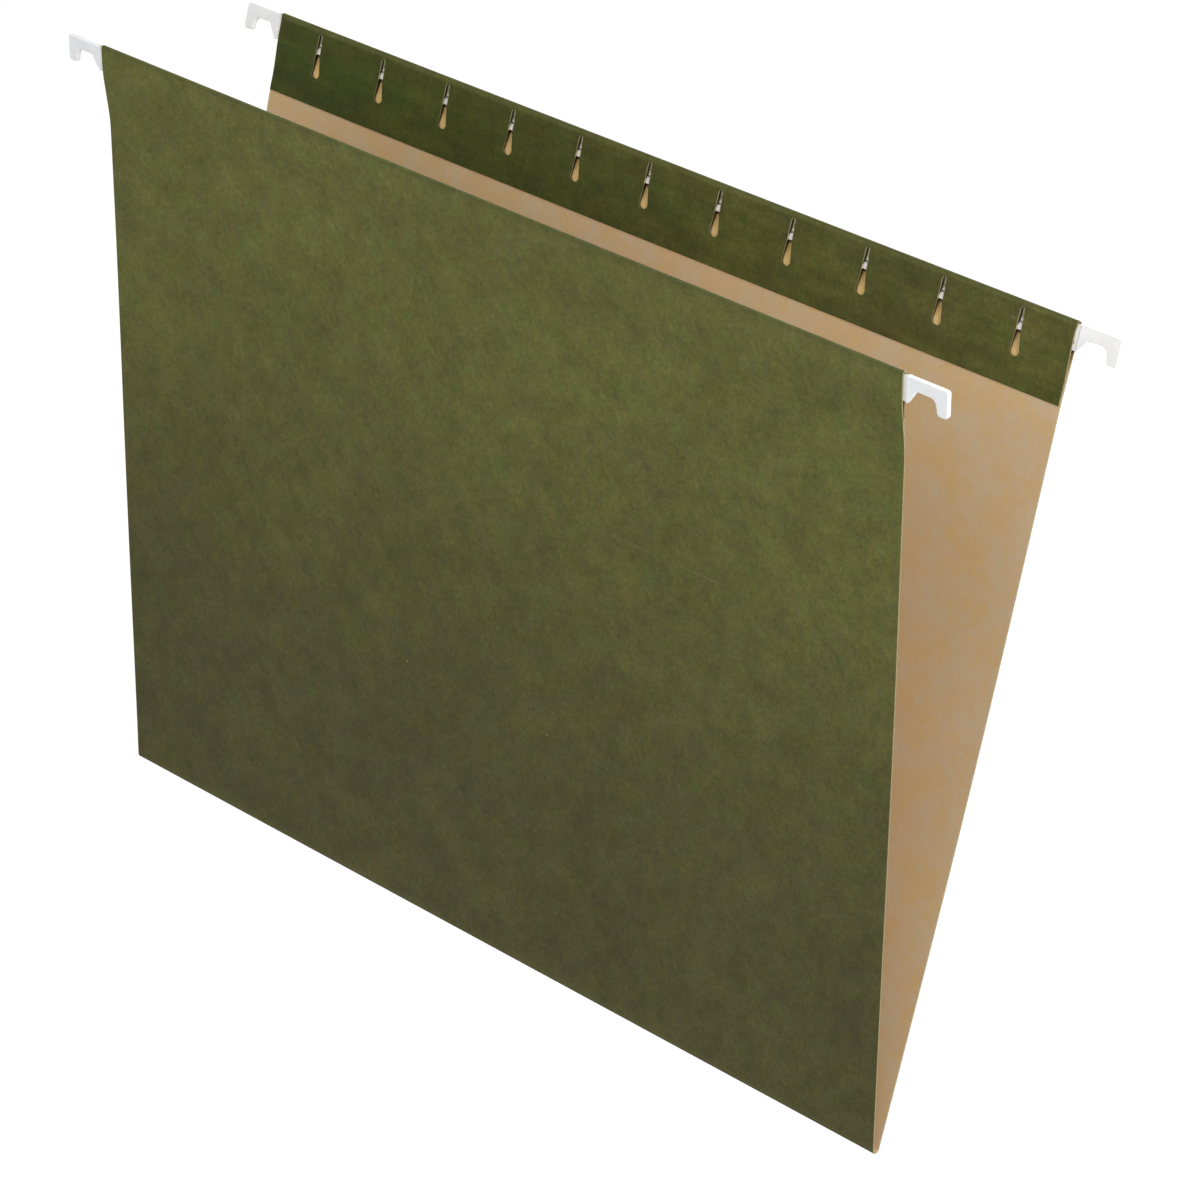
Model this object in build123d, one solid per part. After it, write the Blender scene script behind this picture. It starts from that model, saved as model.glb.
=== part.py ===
from build123d import *
from math import asin, cos, radians, sin
import os

# Hanging file folder: one creased sheet of board, hung from two hooked steel strips.
# X runs along the bottom fold, the front panel leans towards -Y and Z points up.
# The origin is the middle of the fold's underside. Lengths are in millimetres, angles in degrees.

# Sheet of board, folded into two panels along its middle
sheet_width = 298.45
sheet_thickness = 0.28
panel_height = 235.0
opening_angle = 17.0
fold_radius = 1.0
score_leg = 0.6
front_bow = -0.3
back_bow = 1.3
front_tuck = 1.9
back_tuck = 0.3

# Flaps, turned in over the rods, and the laps below them that are glued to the panels
flap_height = 23.0
lap_height = 6.0
glue_thickness = 0.1
glue_edge_gap = 0.8
glue_end_gap = 6.0

# Slots through the flaps and laps for index tabs: a slit down to a waist, which opens into a round hole
slot_pitch = 26.35
slot_end_gap = 15.0
slot_top_gap = 1.7
slot_lap_gap = 2.0
slit_width = 1.2
slot_waist = 1.4
slot_width = 3.0

# Rods, blanked from strip steel with a hook at each end
rod_thickness = 0.8
rod_height = 7.0
rod_clearance = 0.12
rod_travel = 1.0
groove_width = 0.7
groove_depth = 0.25
groove_height = 2.1
hook_reach = 14.1
hook_web = 2.8
hook_foot = 1.3
hook_slant = 2.9
leg_width = 2.6
leg_taper = 0.9
heel_radius = 1.0
toe_radius = 2.3
hook_corner_radius = 0.6

# Coats that the hooks are dipped in
coat_thickness = 0.3
coat_edge_radius = 0.2
coat_stop_gap = 0.2

FRONT = -1
BACK = 1

# Heights above the fold's axis, on a panel held upright
fold_axis_height = fold_radius + sheet_thickness
panel_top = panel_height - fold_axis_height
rod_pocket = rod_thickness + 2 * rod_clearance
bend_radius = rod_pocket / 2
bend_height = panel_top - bend_radius - sheet_thickness
rod_top = bend_height
rod_bottom = rod_top - rod_height
pocket_bottom = rod_bottom - rod_clearance
flap_end = panel_top - flap_height
lap_top = flap_end + lap_height
slot_hole_height = lap_top + slot_lap_gap + slot_width / 2

# Distances out from the fold's axis, on a panel held upright
panel_inside = fold_radius
panel_outside = fold_radius + sheet_thickness
bend_middle = panel_inside - bend_radius
pocket_inside = panel_inside - rod_pocket
flap_inside = pocket_inside - sheet_thickness
lap_outside = panel_inside - glue_thickness
lap_inside = lap_outside - sheet_thickness
rod_middle = panel_inside - rod_clearance - rod_thickness / 2


def lean(side, piece):
    """Turn a piece that was made on an upright panel about the fold's axis, out to its side."""
    return Pos(0, 0, fold_axis_height) * Rot(-side * opening_angle / 2, 0, 0) * piece


def sheet_strip(outline, width=sheet_width):
    """Run a section drawn across the fold along the sheet's width."""
    return extrude(Plane.YZ * make_face(outline), width / 2, both=True)


def tucked(tuck, distance, height):
    """A section's corner beside the lap, where the sheet is drawn in more and more below the rod."""
    return (distance - tuck * (pocket_bottom - height) / (pocket_bottom - flap_end), height)


def across(side, corners):
    """Turn (distance, height) corners into points of a section on that side of the fold."""
    return [(side * distance, height) for distance, height in corners]


def panel(side, tuck, bow):
    """One wall of the folder: flat behind the rod, drawn in behind the lap, bowed from there down."""
    middle = (score_leg + flap_end) / 2

    def face(distance):
        end, knee, waist, belly, foot = across(side, [
            (distance, bend_height), (distance, pocket_bottom), tucked(tuck, distance, flap_end),
            (distance - tuck / 2 + bow, middle), (distance, score_leg)])
        return [Polyline(end, knee, waist), ThreePointArc(waist, belly, foot)], end, foot

    inner_face, inner_end, inner_foot = face(panel_inside)
    outer_face, outer_end, outer_foot = face(panel_outside)
    return sheet_strip(inner_face + outer_face + [Line(inner_end, outer_end), Line(inner_foot, outer_foot)])


def bottom_fold():
    """The creased strip between the panels' score lines, bent round the fold's axis."""
    half = radians(opening_angle / 2)

    def leaning(side, distance, height):
        return (side * (distance * cos(half) + height * sin(half)), height * cos(half) - distance * sin(half))

    inner = [leaning(side, panel_inside, height) for side, height in
             ((FRONT, score_leg), (FRONT, 0), (BACK, 0), (BACK, score_leg))]
    outer = [leaning(side, panel_outside, height) for side, height in
             ((FRONT, score_leg), (FRONT, 0), (BACK, 0), (BACK, score_leg))]
    strip = sheet_strip([
        Line(inner[0], inner[1]),
        ThreePointArc(inner[1], (0, -panel_inside), inner[2]),
        Polyline(inner[2], inner[3], outer[3], outer[2]),
        ThreePointArc(outer[2], (0, -panel_outside), outer[1]),
        Polyline(outer[1], outer[0], inner[0]),
    ])
    return Pos(0, 0, fold_axis_height) * strip


def slot():
    """A tab slot seen square on, centred on its round hole. Its waist is level with the rod's underside."""
    hole = slot_width / 2
    waist = slot_waist / 2
    slit = slit_width / 2
    length = flap_height - lap_height - slot_top_gap - slot_lap_gap
    rise = length - hole - slit
    waist_rise = rod_bottom - slot_hole_height
    flank = asin((hole - waist) / waist_rise)
    hole_side, hole_touch = hole * cos(flank), hole * sin(flank)
    waist_side, waist_touch = waist * cos(flank), waist_rise + waist * sin(flank)
    return make_face([
        ThreePointArc((-hole_side, hole_touch), (0, -hole), (hole_side, hole_touch)),
        Polyline((hole_side, hole_touch), (waist_side, waist_touch), (slit, rise)),
        ThreePointArc((slit, rise), (0, rise + slit), (-slit, rise)),
        Polyline((-slit, rise), (-waist_side, waist_touch), (-hole_side, hole_touch)),
    ])


def top_fold(side):
    """The sheet bent over the rod's top edge, from the panel round to the flap."""
    return sheet_strip([
        ThreePointArc((side * panel_outside, bend_height), (side * bend_middle, panel_top),
                      (side * flap_inside, bend_height)),
        Line((side * flap_inside, bend_height), (side * pocket_inside, bend_height)),
        ThreePointArc((side * pocket_inside, bend_height), (side * bend_middle, bend_height + bend_radius),
                      (side * panel_inside, bend_height)),
        Line((side * panel_inside, bend_height), (side * panel_outside, bend_height)),
    ])


def slotted_strip(side, section):
    """A strip of the turned-in sheet, slots cut, from its section's (distance, height) corners."""
    strip = sheet_strip(Polyline(across(side, section), close=True))
    slot_count = int((sheet_width - 2 * slot_end_gap) // slot_pitch) + 1
    cut_depth = panel_outside + rod_pocket
    punch = extrude(Plane.XZ * slot(), cut_depth, both=True)
    punches = [Pos((index - (slot_count - 1) / 2) * slot_pitch, 0, slot_hole_height) * punch
               for index in range(slot_count)]
    return strip - punches


def flap(side):
    """The inner wall of the rod's pocket, hanging from the top fold."""
    return slotted_strip(side, [(flap_inside, bend_height), (flap_inside, pocket_bottom),
                                (pocket_inside, pocket_bottom), (pocket_inside, bend_height)])


def lap(side, tuck):
    """The end of the sheet below the rod: brought back to the panel and glued to it."""
    return slotted_strip(side, [(flap_inside, pocket_bottom), tucked(tuck, lap_inside, lap_top),
                                tucked(tuck, lap_inside, flap_end), tucked(tuck, lap_outside, flap_end),
                                tucked(tuck, lap_outside, lap_top), (pocket_inside, pocket_bottom)])


def glue_line(side, tuck):
    """The film of glue that holds the lap's lower band to the panel."""
    low, high = flap_end + glue_edge_gap, lap_top - glue_edge_gap
    section = [tucked(tuck, panel_inside, low), tucked(tuck, panel_inside, high),
               tucked(tuck, lap_outside, high), tucked(tuck, lap_outside, low)]
    return sheet_strip(Polyline(across(side, section), close=True), sheet_width - 2 * glue_end_gap)


def rod_blank():
    """The rod's outline, seen square on: a strip with a notch in its lower edge at each end."""
    tip = sheet_width / 2 + hook_reach
    strip = Pos(0, rod_top - rod_height / 2) * Rectangle(2 * tip, rod_height)
    notch_top = rod_top - hook_web
    heel = sheet_width / 2 + hook_foot
    toe = tip - leg_width
    notch = make_face(Polyline((heel, rod_bottom), (heel + hook_slant, notch_top),
                               (toe - leg_taper, notch_top), (toe, rod_bottom), close=True))
    upper_corners = notch.vertices().group_by(Axis.Y)[-1].sort_by(Axis.X)
    notch = fillet(upper_corners[0], heel_radius)
    notch = fillet(notch.vertices().sort_by_distance((toe - leg_taper, notch_top))[0], toe_radius)
    blank = strip - notch - mirror(notch, Plane.YZ)
    ends = blank.vertices().group_by(Axis.Y)
    return fillet(ends[0] + ends[-1], hook_corner_radius)


def plate(side, outline, thickness):
    """A flat piece of the given outline, centred on the middle of the rod's pocket."""
    return Pos(0, side * rod_middle, 0) * extrude(Plane.XZ * outline, thickness / 2, both=True)


def rod(side):
    """A rod: the blank in strip steel, with a stiffening groove pressed along the face towards the flap."""
    groove = Box(sheet_width, 2 * groove_depth, groove_width)
    face = rod_middle - rod_thickness / 2
    return plate(side, rod_blank(), rod_thickness) - Pos(0, side * face, rod_bottom + groove_height) * groove


def hook_tip(side):
    """The coat over the right-hand hook. Its inner end stops short of the sheet's edge."""
    start = sheet_width / 2 + rod_travel + coat_stop_gap
    reach = hook_reach + coat_thickness
    window = Pos(start + reach / 2, rod_top - rod_height / 2) * Rectangle(reach, 2 * rod_height)
    outline = offset(rod_blank(), coat_thickness) & window
    block = plate(side, outline, rod_thickness + 2 * coat_thickness)
    faces = block.faces().sort_by(Axis.Y)
    rims = faces[0].edges().sort_by(Axis.X)[1:] + faces[-1].edges().sort_by(Axis.X)[1:]
    return fillet(rims, coat_edge_radius) - plate(side, rod_blank(), rod_thickness)


pieces = {"bottom_fold": bottom_fold()}
for name, side, tuck, bow in (("front", FRONT, front_tuck, front_bow), ("back", BACK, back_tuck, back_bow)):
    right_tip = hook_tip(side)
    pieces[name + "_panel"] = lean(side, panel(side, tuck, bow))
    pieces[name + "_top_fold"] = lean(side, top_fold(side))
    pieces[name + "_flap"] = lean(side, flap(side))
    pieces[name + "_lap"] = lean(side, lap(side, tuck))
    pieces[name + "_glue_line"] = lean(side, glue_line(side, tuck))
    pieces[name + "_rod"] = lean(side, rod(side))
    pieces[name + "_right_hook_tip"] = lean(side, right_tip)
    pieces[name + "_left_hook_tip"] = lean(side, mirror(right_tip, Plane.YZ))

os.makedirs("parts", exist_ok=True)
for node, piece in pieces.items():
    export_step(piece, f"parts/{node}.step")
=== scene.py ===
import bpy
import numpy as np
from mathutils import Matrix, Vector


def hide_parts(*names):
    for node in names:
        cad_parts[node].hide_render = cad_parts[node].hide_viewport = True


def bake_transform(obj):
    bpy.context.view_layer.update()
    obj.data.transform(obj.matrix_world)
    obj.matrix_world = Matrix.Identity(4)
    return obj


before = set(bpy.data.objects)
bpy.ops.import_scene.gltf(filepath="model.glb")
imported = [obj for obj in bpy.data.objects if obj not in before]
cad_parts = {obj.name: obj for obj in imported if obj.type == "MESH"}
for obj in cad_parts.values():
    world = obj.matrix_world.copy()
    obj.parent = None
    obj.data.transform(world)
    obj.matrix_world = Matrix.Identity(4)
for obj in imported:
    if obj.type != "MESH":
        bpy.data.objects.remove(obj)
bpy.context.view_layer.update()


# The sheet: one piece of recycled board, green outside and bare kraft inside, folded once along the bottom.
# Both ends are turned in over the rods, punched with a row of teardrop slots for index tabs, and glued to the
# panels again below the rods. It is die-cut, so the cut edges show the pale core of the board.
half_width = 0.149225
board_thickness = 0.00028
lean = np.radians(8.5)
fold_radius = 0.00128
fold_axis_height = 0.00128

# Heights on a panel held upright, from the fold's axis
score_height = 0.0006
lap_end = 0.21072
lap_top = 0.21672
slot_hole_height = 0.22022
rod_foot = 0.2258
slot_waist_height = 0.22592
left_lip_point, left_lip_full = 0.2266, 0.2290
right_lip_point, right_lip_full = 0.2292, 0.2301
slit_top_height = 0.23142
bend_height = 0.23292

# Bends, gaps and slots
front_tuck, front_bow = 0.0019, -0.0003
back_tuck, back_bow = 0.0003, 0.0013
bend_radius = 0.0008
flap_gap = 0.0016
lap_gap = 0.00066
flap_trim = 0.0002
slot_pitch = 0.02635
slot_count = 11
slot_hole_radius = 0.0015
slot_waist_half = 0.0007
slit_half_width = 0.0006
lip_share = 0.97


def softened(height, knots, values):
    """A bent line through the knots, with rounded corners: at each height, the line's mean over 5 mm."""
    nearby = height[:, None] + np.linspace(-0.0025, 0.0025, 11)[None, :]
    return np.interp(nearby, knots, values).mean(axis=1)


def panel_face(height, tuck, bow):
    """Distance of a panel's green face from the fold's axis: flat behind the rod, drawn in by the tuck at the
    lap's lower edge, straight from there to the score line, plus a bow, a parabola between those two."""
    drawn_in = softened(height, [score_height, lap_end, rod_foot], [0, -tuck, 0])
    along = np.clip((height - score_height) / (lap_end - score_height), 0, 1)
    return fold_radius + drawn_in + 4 * bow * along * (1 - along)


def side_profile(tuck, bow):
    """Half of the sheet's section, from the middle of the fold to the end of the lap, as distance and height
    on an upright panel: a quarter turn round the fold, the panel, a half turn over the rod, then flap and
    lap. These four are parts 0 to 3. Rows of the mesh lie closest along the slots."""
    turn = np.linspace(lean - np.pi / 2, 0, 12)
    up = np.concatenate([np.linspace(0.0003, 0.006, 5), np.linspace(0.011, 0.196, 30),
                         np.linspace(0.2, bend_height - 0.0004, 16)])
    over = np.linspace(0, np.pi, 13)
    below = [lap_end, 0.21085, 0.2112, 0.2125, 0.2145, 0.216, 0.2168, 0.2176, 0.2182, 0.2185]
    lower_hole = slot_hole_height - slot_hole_radius * np.cos(np.linspace(0, 1.75, 10))
    slit = np.linspace(0.2211, slit_top_height, 22)
    slit_end = slit_top_height + slit_half_width * np.sin(np.linspace(0.35, np.pi / 2, 4))
    down = np.concatenate([below, lower_hole, slit, slit_end, [0.2323, 0.2326]])[::-1]
    bend_middle = fold_radius - bend_radius
    gap = softened(down, [lap_top, rod_foot], [lap_gap, flap_gap])
    distance = np.concatenate([fold_radius * np.cos(turn), panel_face(up, tuck, bow),
                               bend_middle + bend_radius * np.cos(over), panel_face(down, tuck, bow) - gap])
    height = np.concatenate([fold_radius * np.sin(turn), up, bend_height + bend_radius * np.sin(over), down])
    part = np.repeat([0, 1, 2, 3], [len(turn), len(up), len(over), len(down)])
    return distance, height, part


def slot_edges(height, part):
    """Half the width of a slot, row by row: a round hole, flanks that narrow to a waist, a slit and a round
    end. Also how much of that half the board's lips still cover: in the slit's upper part both were left
    standing and pushed in, the left one down to a point lower than the right one."""
    below, above = height - slot_hole_height, height - slit_top_height
    hole = np.sqrt(np.clip(slot_hole_radius ** 2 - below ** 2, 0, None))
    end = np.sqrt(np.clip(slit_half_width ** 2 - above ** 2, 0, None))
    flank = np.interp(height, [slot_hole_height, slot_waist_height, slit_top_height],
                      [slot_hole_radius, slot_waist_half, slit_half_width])
    reach = np.where(below < 0, hole, np.where(above > 0, end, flank)) * (part == 3)
    reach = np.where(reach < 1e-6, 0, reach)
    left_lip = lip_share * np.interp(height, [left_lip_point, left_lip_full], [0, 1])
    right_lip = lip_share * np.interp(height, [right_lip_point, right_lip_full], [0, 1])
    return reach, left_lip * reach, right_lip * reach


def sheet_mesh(name):
    """The sheet's green face as twelve strips between the slots. A strip is a grid: rows follow the section
    from the front lap to the back lap, columns crowd towards the strip's edges, and neighbours share their
    edge wherever no slot parts them. Each corner carries its place on the flat sheet, for the pattern."""
    front = side_profile(front_tuck, front_bow)
    back = side_profile(back_tuck, back_bow)
    distance, height, part = [np.concatenate([f[::-1], b[1:]]) for f, b in zip(front, back)]
    side = np.where(np.arange(len(height)) < len(front[0]), -1, 1)
    section = np.column_stack([side * (distance * np.cos(lean) + height * np.sin(lean)),
                               height * np.cos(lean) - distance * np.sin(lean)])
    along = np.concatenate([[0], np.cumsum(np.hypot(*np.diff(section, axis=0).T))])

    # Strip edges, row by row. The turned-in ends are cut a little narrower than the panels
    reach, left_lip, right_lip = slot_edges(height, part)
    to_left, to_right = reach - left_lip, reach - right_lip
    middles = (np.arange(slot_count) - (slot_count - 1) / 2) * slot_pitch
    edge = half_width - flap_trim * np.clip((bend_height - height) / 0.0015, 0, 1) * (part == 3)
    starts = np.vstack([-edge, middles[:, None] + to_right])
    stops = np.vstack([middles[:, None] - to_left, edge])
    near_edge = np.array([0, 0.12, 0.35, 0.75, 1.4, 2.6, 5.0, 8.6]) * 0.001 / slot_pitch
    share = np.concatenate([near_edge, [0.5], 1 - near_edge[::-1]])
    x = starts[:, :, None] + (stops - starts)[:, :, None] * share

    # Distance to the nearest cut, and how far the lips stand into the slits
    far = 0.02
    open_row = reach > 0
    cut_at_start = np.vstack([np.ones_like(open_row), np.tile(open_row, (slot_count, 1))])
    cut_at_stop = np.vstack([np.tile(open_row, (slot_count, 1)), np.ones_like(open_row)])
    from_start = np.where(cut_at_start[:, :, None], x - starts[:, :, None], far)
    from_stop = np.where(cut_at_stop[:, :, None], stops[:, :, None] - x, far)
    to_cut = np.minimum(from_start, from_stop)
    in_left = np.where(cut_at_stop[:, :, None], left_lip[:, None] - from_stop, -far)
    in_right = np.where(cut_at_start[:, :, None], right_lip[:, None] - from_start, -far)
    in_left[-1], in_right[0] = -far, -far

    # Beside the slits the left edge is raised towards the pocket's middle, and both lips dip in from there
    left_rise, left_dip, right_dip = 0.00025, 0.00033, 0.00008
    slit_part = np.interp(height, [0.2225, 0.2275, 0.2312, 0.232], [0, 1, 1, 0]) * (part == 3)
    raised = left_rise * np.exp(np.minimum(in_left, 0) / 0.0009) - left_dip * np.clip(in_left / 0.0004, 0, 1)
    dipped = right_dip * np.exp(np.minimum(in_right, 0) / 0.0005)
    raised[-1], dipped[0] = 0, 0

    # The panels hang in a faint wave, strongest half way up
    wave_height, wave_width, wave_rise = 0.00035, 0.23, 0.35
    wave = np.sin(2 * np.pi * (x / wave_width + 0.31 * side[:, None] + height[:, None] / wave_rise))
    slack = wave_height * np.sin(np.pi * np.clip(height / lap_end, 0, 1)) * (part == 1)
    lifted = (dipped - raised) * slit_part[:, None] + wave * slack[:, None]
    y = section[:, 0, None] + side[:, None] * lifted * np.cos(lean)
    z = fold_axis_height + section[:, 1, None] - lifted * np.sin(lean)

    # Neighbouring strips share the corners where the slots are closed
    number = np.arange(x.size).reshape(x.shape)
    number[1:, ~open_row, 0] = number[:-1, ~open_row, -1]
    quads = np.stack([number[:, :-1, :-1], number[:, 1:, :-1],
                      number[:, 1:, 1:], number[:, :-1, 1:]], axis=-1)
    used, corners = np.unique(quads, return_inverse=True)
    points = np.stack([x, y, z], axis=-1).reshape(-1, 3)[used]
    flat = np.stack([x, np.broadcast_to(along[None, :, None], x.shape)], axis=-1).reshape(-1, 2)[used]

    # Where the finish changes: painted shade in the top folds, towards the bottom and on the turned-in ends,
    # painted light by the rod's place, wear at the bottom fold, and the slots' drops
    crease_shade = np.exp(-np.abs(height - bend_height - 0.0004) / 0.0005) * (part > 0)
    worn = np.exp(-np.abs(height) / 0.0012) * (part < 2)
    # Painted shade: 1 at the fold down to 0 at the top, for a colour darker towards the bottom
    low = np.clip(1 - height / bend_height, 0, 1) * (part < 2)
    # Painted shade on the turned-in ends
    inside = np.where(part == 3, np.clip((bend_height - height) / 0.001, 0, 1), 0)
    # Painted light: the turned-in ends a little lighter below the rod's foot, fading out towards the lap's
    # edge
    under_rod = np.interp(height, [lap_end, 0.2155, 0.2185, rod_foot, 0.2268], [0, 0.2, 0.8, 1, 0])
    under_rod = under_rod * (part == 3)
    drop = np.where(cut_at_start[:, :, None] & cut_at_stop[:, :, None], 1.0, 0.0) * np.ones_like(x)
    drop = drop * ((height < slot_waist_height) & open_row)[:, None]
    drop[0, :, :4], drop[-1, :, -4:] = 0, 0

    mesh = bpy.data.meshes.new(name)
    mesh.from_pydata(points.tolist(), [], corners.reshape(-1, 4).tolist())
    mesh.shade_smooth()
    mesh.uv_layers.new(name="flat_sheet").data.foreach_set("uv", flat[corners.ravel()].ravel())
    carried = {"to_cut": to_cut, "in_left": in_left, "in_right": in_right, "painted_crease_shade": crease_shade[:, None],
               "wear": worn[:, None], "low": low[:, None], "turned_in": inside[:, None],
               "under_rod": under_rod[:, None], "drop": drop}
    for title, values in carried.items():
        layer = mesh.attributes.new(title, "FLOAT", "POINT")
        layer.data.foreach_set("value", np.broadcast_to(values, x.shape).ravel()[used].astype(np.float32))
    tops = np.argmax(np.where(side < 0, height, 0)), np.argmax(np.where(side > 0, height, 0))
    return mesh, along, along[list(tops)]


def lay(tree, kind, inputs, **settings):
    """Add a node to a material, with its settings, and feed its inputs: plain values or nodes' outputs."""
    node = tree.nodes.new(kind)
    for name, value in settings.items():
        setattr(node, name, value)
    for name, value in inputs.items():
        if isinstance(value, bpy.types.NodeSocket):
            tree.links.new(value, node.inputs[name])
        else:
            node.inputs[name].default_value = value
    return node


def tint(tree, amount, below, above, blend="MIX"):
    """Mix two colours, each a plain colour or a node's output."""
    return lay(tree, "ShaderNodeMix", {0: amount, 6: below, 7: above},
               data_type="RGBA", blend_type=blend).outputs[2]


def between(tree, value, low, high, to_low=0.0, to_high=1.0):
    """Carry a value smoothly from one range to another, and hold it there outside that range."""
    return lay(tree, "ShaderNodeMapRange", {0: value, 1: low, 2: high, 3: to_low, 4: to_high},
               interpolation_type="SMOOTHSTEP").outputs[0]


def sums(tree, operation, *values):
    """One step of arithmetic on plain numbers or node outputs."""
    return lay(tree, "ShaderNodeMath", dict(enumerate(values)), operation=operation).outputs[0]


def apart(tree, value, middle):
    """How far a value is from a middle, either way."""
    return sums(tree, "ABSOLUTE", sums(tree, "SUBTRACT", value, middle))


def grain(tree, place, scale, detail=4.0, roughness=0.55, stretch=(1, 1, 1), turn=0.0):
    """Fractal noise, about `scale` blotches to the metre, drawn out and turned if asked."""
    moved = lay(tree, "ShaderNodeMapping", {"Vector": place, "Rotation": (0, 0, turn), "Scale": stretch})
    return lay(tree, "ShaderNodeTexNoise", {"Vector": moved.outputs[0], "Scale": scale, "Detail": detail,
                                            "Roughness": roughness}).outputs[0]


def new_finish(name):
    """A new material, with its tree and its shader."""
    material = bpy.data.materials.new(name)
    material.use_nodes = True
    return material, material.node_tree, material.node_tree.nodes["Principled BSDF"]


def feed(tree, shader, colour, roughness, relief=None, strength=1.0, depth=0.0):
    """Lead colour, roughness and, where there is one, a fine relief of that depth into a shader."""
    tree.links.new(colour, shader.inputs["Base Color"])
    tree.links.new(roughness, shader.inputs["Roughness"])
    if relief is not None:
        bump = lay(tree, "ShaderNodeBump", {"Strength": strength, "Distance": depth, "Height": relief})
        tree.links.new(bump.outputs[0], shader.inputs["Normal"])


def paper(name):
    """A new paper material: its tree, its shader and the place on the flat sheet."""
    material, tree, shader = new_finish(name)
    place = lay(tree, "ShaderNodeUVMap", {}, uv_map="flat_sheet").outputs[0]
    return material, tree, shader, place


def fibres(tree, place, length):
    """Short fibres lying all ways: three layers of drawn-out noise at different turns, averaged."""
    first, second, third = [grain(tree, place, 1 / length, 2.0, 0.6, (1, 7, 1), turn)
                            for turn in (0.2, 1.3, 2.4)]
    total = sums(tree, "ADD", sums(tree, "ADD", first, second), third)
    return sums(tree, "MULTIPLY", total, 1 / 3)


def read(tree, title):
    """A value that the sheet's mesh carries at its corners."""
    return lay(tree, "ShaderNodeAttribute", {}, attribute_name=title).outputs["Fac"]


def blotches(tree, place, per_metre, shift, turn):
    """Noise with three sizes of blotch, each half as large as the one before and about as strong."""
    moved = lay(tree, "ShaderNodeMapping", {"Vector": place, "Location": (shift, shift, 0),
                                            "Rotation": (0, 0, turn)})
    return lay(tree, "ShaderNodeTexNoise", {"Vector": moved.outputs[0], "Scale": per_metre, "Detail": 2.0,
                                            "Roughness": 0.9})


def mottled(tree, colour, place, per_metre, brightness, hue, turn=0.0):
    """Let a colour wander: times 1 plus `brightness` times noise about zero, and each channel by its own
    `hue` on top, from noise at another place."""
    light = blotches(tree, place, per_metre, 0, turn)
    shade = blotches(tree, place, per_metre, 7, turn)
    lighter = sums(tree, "MULTIPLY_ADD", light.outputs["Fac"], brightness, 1 - brightness / 2)
    middle = [1 - channel / 2 for channel in hue]
    tinted = lay(tree, "ShaderNodeVectorMath", {0: shade.outputs["Color"], 1: hue, 2: middle},
                 operation="MULTIPLY_ADD").outputs[0]
    factor = lay(tree, "ShaderNodeVectorMath", {0: tinted, "Scale": lighter}, operation="SCALE").outputs[0]
    return tint(tree, 1.0, colour, factor, "MULTIPLY")


def flecked(tree, colour, fine, low, high, change):
    """Darken and lighten a colour by its fibres: times 1 minus the change up to 1 plus the change."""
    fleck = between(tree, fine, low, high, 1 - change, 1 + change)
    grey = lay(tree, "ShaderNodeCombineColor", {0: fleck, 1: fleck, 2: fleck}).outputs[0]
    return tint(tree, 1.0, colour, grey, "MULTIPLY")


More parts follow.
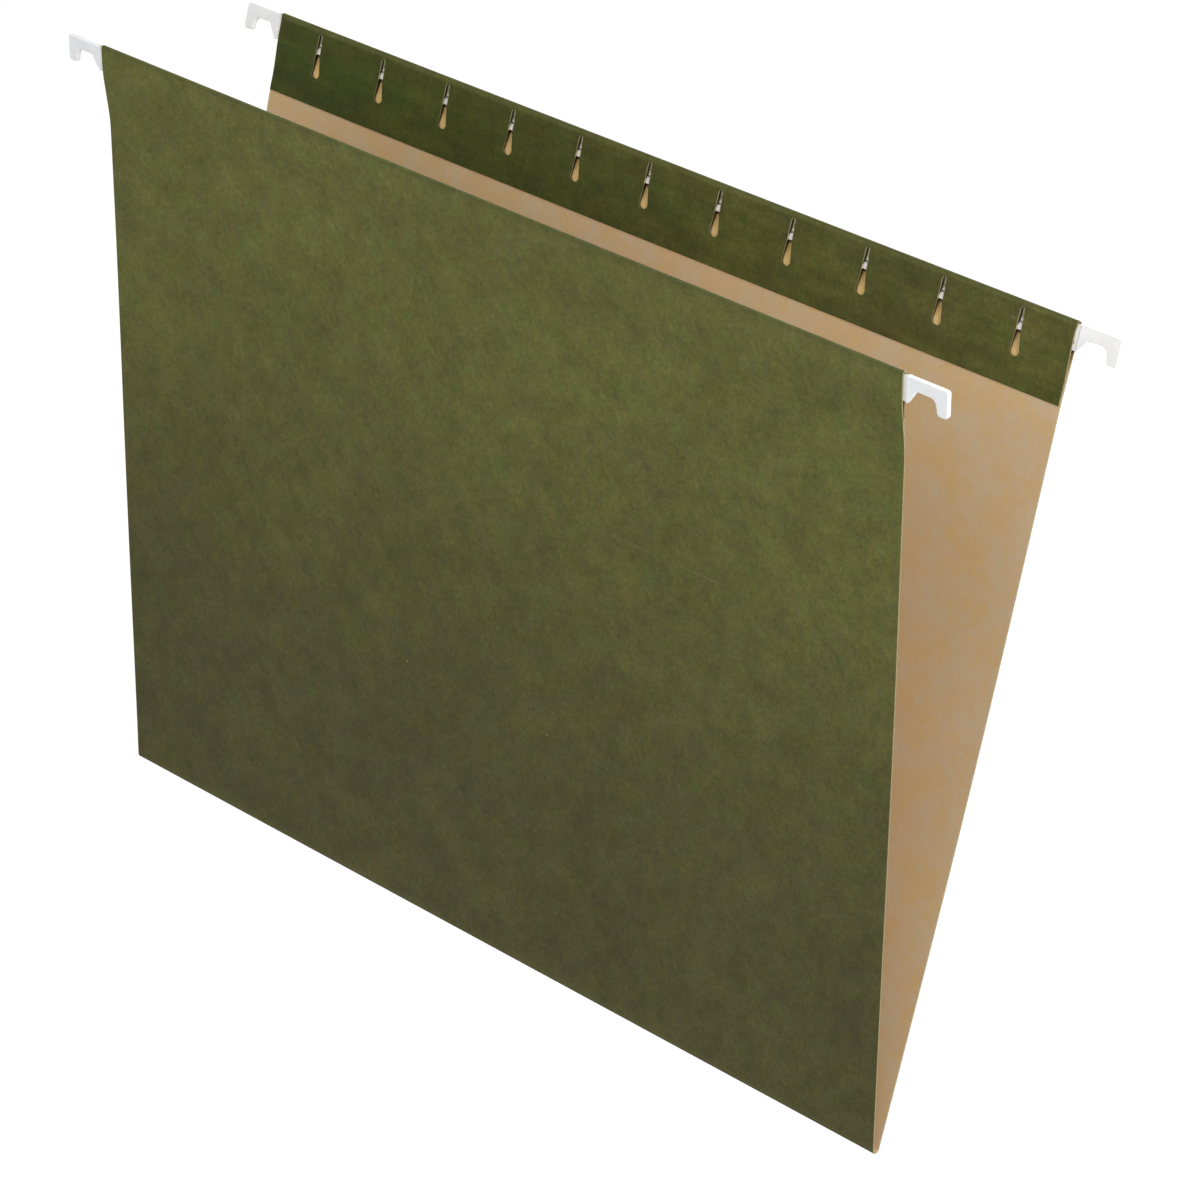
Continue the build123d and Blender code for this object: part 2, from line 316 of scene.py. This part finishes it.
def green_face(scuff_row, scuff_middle):
    """The dyed side: olive board, mottled at every scale and flecked by fibres, with a faint scuff on the
    front.
    Painted shade makes it browner and darker towards the bottom fold and deeper green on the turned-in ends."""
    material, tree, shader, place = paper("green_board_face")
    # Painted shade: browner and darker towards the bottom fold, standing in for the light falling off down
    # the panel
    low_shade = between(tree, read(tree, "low"), 0.1, 0.82)
    colour = tint(tree, low_shade, (0.114, 0.117, 0.0312, 1), (0.077, 0.074, 0.0246, 1))

    # The turned-in ends: painted shade makes them darker, darkest on the left, and painted light makes them a
    # little lighter below the rod's foot; streaked along their length
    across = lay(tree, "ShaderNodeSeparateXYZ", {"Vector": place})
    under_rod = read(tree, "under_rod")
    # Painted shade: darker turned-in ends, darkest on the left; painted light a little lighter below the
    # rod's foot
    left_flap = tint(tree, under_rod, (0.045, 0.056, 0.007, 1), (0.047, 0.063, 0.008, 1))
    right_flap = tint(tree, under_rod, (0.080, 0.080, 0.0195, 1), (0.088, 0.089, 0.0218, 1))
    flap = tint(tree, between(tree, across.outputs[0], -half_width, half_width), left_flap, right_flap)
    streak = grain(tree, place, 170, 3.0, 0.7, (0.22, 1, 1))
    dark_streak = tint(tree, 1.0, flap, (0.84, 0.88, 0.84, 1), "MULTIPLY")
    pale_streak = tint(tree, 1.0, flap, (1.17, 1.12, 1.18, 1), "MULTIPLY")
    flap = tint(tree, between(tree, streak, 0.34, 0.66), dark_streak, pale_streak)
    colour = tint(tree, read(tree, "turned_in"), colour, flap)

    # Mottle, fibres and pale specks
    colour = mottled(tree, colour, place, 16, 0.54, (0.09, 0.08, 0.13))
    colour = mottled(tree, colour, place, 105, 0.84, (0.35, 0.35, 0.62), 0.7)
    colour = mottled(tree, colour, place, 760, 1.00, (0.38, 0.38, 0.90), 1.9)
    fine = fibres(tree, place, 0.0016)
    colour = flecked(tree, colour, fine, 0.40, 0.60, 0.06)
    speck = lay(tree, "ShaderNodeTexVoronoi", {"Vector": place, "Scale": 52.0}).outputs["Distance"]
    colour = tint(tree, between(tree, speck, 0.012, 0.022, 0.6, 0.0), colour, (0.36, 0.34, 0.22, 1))

    # The scuff: a hair-wide line on the front panel, broken up by noise
    off_line = apart(tree, across.outputs[1], scuff_row)
    along_line = apart(tree, across.outputs[0], scuff_middle)
    scuff = sums(tree, "MULTIPLY", between(tree, off_line, 0.0001, 0.0004, 1.0, 0.0),
                 between(tree, along_line, 0.030, 0.039, 1.0, 0.0))
    scuff = sums(tree, "MULTIPLY", scuff, between(tree, grain(tree, place, 110), 0.36, 0.6, 0.0, 0.3))
    colour = tint(tree, scuff, colour, (0.22, 0.21, 0.1, 1))

    # Cuts, which are pale, but painted dark round the drops as their shade. Lips, creases and the worn fold,
    # with painted light and shade on the lips and in the creases
    cut = between(tree, read(tree, "to_cut"), 0.00005, 0.0003, 0.55, 0.0)
    # Painted shade: the cut edges round the drops nearly black
    pale_cut_and_drop_shade = tint(tree, read(tree, "drop"), (0.30, 0.27, 0.13, 1), (0.018, 0.016, 0.006, 1))
    colour = tint(tree, cut, colour, pale_cut_and_drop_shade)
    left_lip, right_lip = read(tree, "in_left"), read(tree, "in_right")
    # Painted light: the right lip pale where it is pushed in
    colour = tint(tree, between(tree, right_lip, -0.00005, 0.0001, 0.0, 0.8), colour, (0.25, 0.26, 0.14, 1))
    colour = tint(tree, between(tree, left_lip, -0.00022, -0.00005, 0.0, 0.7), colour, (0.33, 0.30, 0.16, 1))
    # Painted shadow: the left lip near black where it is pushed in
    colour = tint(tree, between(tree, left_lip, 0.00002, 0.0001), colour, (0.003, 0.003, 0.002, 1))
    # Painted shade along the top folds
    colour = tint(tree, sums(tree, "MULTIPLY", read(tree, "painted_crease_shade"), 0.55), colour, (0.04, 0.045, 0.014, 1))
    colour = tint(tree, sums(tree, "MULTIPLY", read(tree, "wear"), 0.3), colour, (0.15, 0.14, 0.06, 1))

    shader.inputs["Specular IOR Level"].default_value = 0.22
    relief = sums(tree, "ADD", fine, sums(tree, "MULTIPLY", grain(tree, place, 160, 4.0), 1.2))
    feed(tree, shader, colour, between(tree, fine, 0.3, 0.7, 0.72, 0.86), relief, 0.35, 0.00006)
    return material


def kraft_face(top_rows):
    """The bare side: tan kraft, even in brightness, with soft ochre and pinkish patches and fine fibres.
    Under the flaps it is painted dark brown as shade, a brighter ochre as painted light where the tab slots
    bare it, and a painted shadow runs along the foot of the rods."""
    material, tree, shader, place = paper("kraft_face")
    ochre = between(tree, grain(tree, place, 95, 5.0, 0.8, turn=0.5), 0.33, 0.67)
    colour = tint(tree, ochre, (0.588, 0.459, 0.304, 1), (0.618, 0.424, 0.203, 1))
    colour = mottled(tree, colour, place, 14, 0.08, (0.06, 0.04, 0.10))
    colour = mottled(tree, colour, place, 600, 0.08, (0.12, 0.08, 0.30), 1.4)
    fine = fibres(tree, place, 0.0019)
    colour = flecked(tree, colour, fine, 0.38, 0.62, 0.03)

    # Distances down the panel from its top row, along the sheet
    waist_down, rod_shadow_down, hole_down, lap_down = 0.0082, 0.0087, 0.0139, 0.0170
    flat = lay(tree, "ShaderNodeSeparateXYZ", {"Vector": place})
    from_front = sums(tree, "SUBTRACT", flat.outputs[1], float(top_rows[0]))
    from_back = sums(tree, "SUBTRACT", float(top_rows[1]), flat.outputs[1])
    down = sums(tree, "MINIMUM", from_front, from_back)

    # Behind the flap the kraft is painted a brighter ochre in line with a slot, as light, and painted dark
    # beside it, as shade, less so near the open ends
    off_slot = sums(tree, "ABSOLUTE", sums(tree, "WRAP", flat.outputs[0], slot_pitch / 2, -slot_pitch / 2))
    slot_half = lay(tree, "ShaderNodeMapRange", {0: down, 1: waist_down, 2: hole_down, 3: slot_waist_half,
                                                 4: slot_hole_radius}).outputs[0]
    beside = between(tree, sums(tree, "SUBTRACT", off_slot, slot_half), 0.0, 0.0003)
    above_lap = between(tree, down, lap_down, lap_down + 0.0004, 1.0, 0.0)
    outer = sums(tree, "MULTIPLY", above_lap, between(tree, down, 0.0095, 0.0150, 0.8, 0.0))
    covered = between(tree, sums(tree, "ABSOLUTE", flat.outputs[0]), 0.1440, 0.1455, above_lap, outer)
    # Painted light: a brighter ochre behind the flap
    colour = tint(tree, covered, colour, (0.82, 0.58, 0.245, 1))
    # Painted shade beside the slots, under the flap
    colour = tint(tree, sums(tree, "MULTIPLY", beside, covered), colour, (0.12, 0.07, 0.028, 1))
    # Painted shadow of the rod's foot on the kraft
    rod_shadow = between(tree, apart(tree, down, rod_shadow_down), 0.0002, 0.0009, 0.85, 0.0)
    colour = tint(tree, rod_shadow, colour, (0.06, 0.035, 0.015, 1))

    shader.inputs["Specular IOR Level"].default_value = 0.2
    feed(tree, shader, colour, between(tree, fine, 0.3, 0.7, 0.76, 0.9), fine, 0.3, 0.00005)
    return material


def cut_edge():
    """The die-cut edge: the board's pale, fuzzy core between its green and kraft sides, painted dark
    round the drops of the slots as their shade."""
    material, tree, shader, place = paper("board_cut_edge")
    fuzz = between(tree, grain(tree, place, 2600, 3.0), 0.35, 0.65)
    colour = tint(tree, fuzz, (0.20, 0.17, 0.085, 1), (0.42, 0.34, 0.2, 1))
    # Painted shade round the drops
    colour = tint(tree, read(tree, "drop"), colour, (0.04, 0.025, 0.01, 1))
    shader.inputs["Specular IOR Level"].default_value = 0.15
    feed(tree, shader, colour, between(tree, fuzz, 0, 1, 0.85, 0.95))
    return material


board_mesh, along_sheet, top_rows = sheet_mesh("board_sheet")
board = bpy.data.objects.new("board_sheet", board_mesh)
bpy.context.scene.collection.objects.link(board)
scuff_down, scuff_middle = 0.0837, 0.0632
for finish in (green_face(top_rows[0] + scuff_down, scuff_middle), kraft_face(top_rows), cut_edge()):
    board_mesh.materials.append(finish)
wall = board.modifiers.new("board_thickness", "SOLIDIFY")
wall.thickness = board_thickness
wall.offset = -1
wall.material_offset = 1
wall.material_offset_rim = 2
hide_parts("bottom_fold", "front_panel", "front_top_fold", "front_flap", "front_lap",
            "back_panel", "back_top_fold", "back_flap", "back_lap")
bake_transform(board)


# The glue lines: a thin film of dried paper glue between each lap and its panel, rolled on before the lap is
# pressed down. Only their ends can be seen, from the side.
def solid_finish(name):
    """A new material for a solid piece: its tree, its shader and the place in the object."""
    material, tree, shader = new_finish(name)
    place = lay(tree, "ShaderNodeTexCoord", {}).outputs["Object"]
    return material, tree, shader, place


def dried_glue():
    """Amber, slightly cloudy dried glue."""
    material, tree, shader, place = solid_finish("dried_glue")
    cloudy = between(tree, grain(tree, place, 260, 4.0), 0.35, 0.65)
    colour = tint(tree, cloudy, (0.55, 0.46, 0.30, 1), (0.66, 0.60, 0.46, 1))
    feed(tree, shader, colour, between(tree, cloudy, 0, 1, 0.45, 0.65))
    return material


def put_on(finish, *nodes):
    """Give CAD nodes a finish in place of the one they came with."""
    for node in nodes:
        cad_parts[node].data.materials.clear()
        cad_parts[node].data.materials.append(finish)


put_on(dried_glue(), "front_glue_line", "back_glue_line")


# The rods: flat steel strip, blanked with a hook at each end and enamelled white. They lie loose in the
# pockets under the flaps, and show through the tab slots and beside the sheet's edges.
groove_height = 0.22802


def white_enamel():
    """White enamel on steel strip: streaks along it from rubbing, a soft gloss, and painted shade along the
    pressed groove. Height on the leaning strip is the height above the fold's axis times the lean's cosine
    plus the distance from the middle times its sine."""
    material, tree, shader, place = solid_finish("white_enamel")
    streak = between(tree, grain(tree, place, 420, 3.0, 0.5, (0.06, 1, 1)), 0.35, 0.65)
    colour = tint(tree, streak, (0.86, 0.865, 0.865, 1), (0.92, 0.92, 0.91, 1))
    xyz = lay(tree, "ShaderNodeSeparateXYZ", {"Vector": place})
    outwards = sums(tree, "MULTIPLY", sums(tree, "ABSOLUTE", xyz.outputs[1]), float(np.sin(lean)))
    above_axis = sums(tree, "SUBTRACT", xyz.outputs[2], fold_axis_height)
    height = sums(tree, "MULTIPLY_ADD", above_axis, float(np.cos(lean)), outwards)
    # Painted shade: a dark line along the groove, inside the pocket
    in_groove = between(tree, apart(tree, height, groove_height), 0.00015, 0.0004, 0.8, 0.0)
    in_pocket = between(tree, sums(tree, "ABSOLUTE", xyz.outputs[0]), 0.140, 0.145, 1.0, 0.0)
    groove_shade = sums(tree, "MULTIPLY", in_groove, in_pocket)
    colour = tint(tree, groove_shade, colour, (0.22, 0.21, 0.19, 1))
    feed(tree, shader, colour, between(tree, streak, 0, 1, 0.34, 0.46), streak, 0.2, 0.00002)
    return material


put_on(white_enamel(), "front_rod", "back_rod")


# The hook tips: a smooth white coat that each hook is dipped in, so that it slides quietly on the drawer's
# rails. It stops just short of the sheet's edges.
def dipped_coat():
    """White dipped plastic: slightly uneven in tone and gloss, with a low, wide orange peel."""
    material, tree, shader, place = solid_finish("dipped_coat")
    uneven = between(tree, grain(tree, place, 210, 3.0, 0.5), 0.3, 0.7)
    colour = tint(tree, uneven, (0.84, 0.845, 0.855, 1), (0.885, 0.89, 0.90, 1))
    shader.inputs["Specular IOR Level"].default_value = 0.4
    peel = grain(tree, place, 900, 2.0)
    feed(tree, shader, colour, between(tree, uneven, 0, 1, 0.36, 0.5), peel, 0.15, 0.00004)
    return material


put_on(dipped_coat(), "front_left_hook_tip", "front_right_hook_tip", "back_left_hook_tip",
       "back_right_hook_tip")


# The studio: a white floor below the hanging folder, low enough for the front panel to be let down, weak soft
# light from the front and above, a strong one from the right that reaches into the pocket, and one behind.
def seen_directly(tree):
    """1 for rays that show the background to the eye: from the camera, off gloss, or through glass."""
    path = lay(tree, "ShaderNodeLightPath", {})
    either = sums(tree, "MAXIMUM", path.outputs["Is Camera Ray"], path.outputs["Is Glossy Ray"])
    return sums(tree, "MAXIMUM", either, path.outputs["Is Transmission Ray"])


def white_floor():
    """White paper: plain diffuse, with a glow towards the eye that grows away from the folder, where the
    lamps reach less, so that only the folder's shadow shows on it."""
    material, tree, _ = new_finish("white_floor")
    tree.nodes.clear()
    diffuse = lay(tree, "ShaderNodeBsdfDiffuse", {"Color": (0.35, 0.35, 0.35, 1)}).outputs[0]
    place = lay(tree, "ShaderNodeTexCoord", {}).outputs["Object"]
    away = lay(tree, "ShaderNodeVectorMath", {0: place}, operation="LENGTH").outputs["Value"]
    strength = between(tree, away, 0.45, 1.5, 0.65, 0.86)
    glow = lay(tree, "ShaderNodeEmission", {"Color": (1, 1, 1, 1), "Strength": strength}).outputs[0]
    both = lay(tree, "ShaderNodeAddShader", {0: diffuse, 1: glow}).outputs[0]
    seen = lay(tree, "ShaderNodeMixShader", {0: seen_directly(tree), 1: diffuse, 2: both}).outputs[0]
    lay(tree, "ShaderNodeOutputMaterial", {"Surface": seen})
    return material


floor_mesh = bpy.data.meshes.new("floor")
floor_reach, floor_height = 30.0, -0.26
floor_mesh.from_pydata([(-floor_reach, -floor_reach, floor_height), (floor_reach, -floor_reach, floor_height),
                        (floor_reach, floor_reach, floor_height), (-floor_reach, floor_reach, floor_height)],
                       [], [(0, 1, 2, 3)])
floor_mesh.materials.append(white_floor())
floor = bpy.data.objects.new("floor", floor_mesh)
bpy.context.scene.collection.objects.link(floor)

world = bpy.data.worlds.new("studio")
bpy.context.scene.world = world
world.use_nodes = True
room = world.node_tree
room.nodes.clear()
room_light = lay(room, "ShaderNodeBackground", {"Color": (1, 1, 1, 1), "Strength": 0.46}).outputs[0]
white = lay(room, "ShaderNodeBackground", {"Color": (1, 1, 1, 1), "Strength": 1.0}).outputs[0]
shown = lay(room, "ShaderNodeMixShader", {0: seen_directly(room), 1: room_light, 2: white}).outputs[0]
lay(room, "ShaderNodeOutputWorld", {"Surface": shown})


def softbox(name, place, target, width, depth, power):
    """An oblong area lamp at a place, turned towards a target."""
    lamp = bpy.data.lights.new(name, "AREA")
    lamp.shape = "RECTANGLE"
    lamp.size, lamp.size_y = width, depth
    lamp.energy = power
    holder = bpy.data.objects.new(name, lamp)
    holder.location = place
    holder.rotation_mode = "QUATERNION"
    holder.rotation_quaternion = (Vector(target) - Vector(place)).to_track_quat("-Z", "Y")
    bpy.context.scene.collection.objects.link(holder)


softbox("front_softbox", (-0.2, -0.6, 0.35), (-0.05, 0, 0.12), 0.8, 0.3, 1.18)
softbox("edge_softbox", (0, -0.22, 0.40), (0, -0.02, 0.15), 0.9, 0.12, 0.25)
softbox("right_softbox", (1.1, -0.25, 0.42), (0.1, 0, 0.1), 0.6, 0.6, 13.8)
softbox("back_softbox", (-0.2, 0.9, 0.6), (0, 0, 0.12), 0.7, 0.7, 8.0)

camera_data = bpy.data.cameras.new("camera")
camera_data.sensor_width = 36.0
camera_data.lens = 140.48
camera_data.clip_start = 0.05
camera = bpy.data.objects.new("camera", camera_data)
ahead = Vector((-0.603551, 0.696134, -0.388746))
above = Vector((-0.339149, 0.217113, 0.915336))
camera.matrix_world = Matrix.Translation((0.80612, -0.89618, 0.61889)) @ Matrix(
    (ahead.cross(above), above, -ahead)).transposed().to_4x4()
bpy.context.scene.collection.objects.link(camera)
bpy.context.scene.camera = camera
bpy.context.scene.view_settings.view_transform = "Standard"
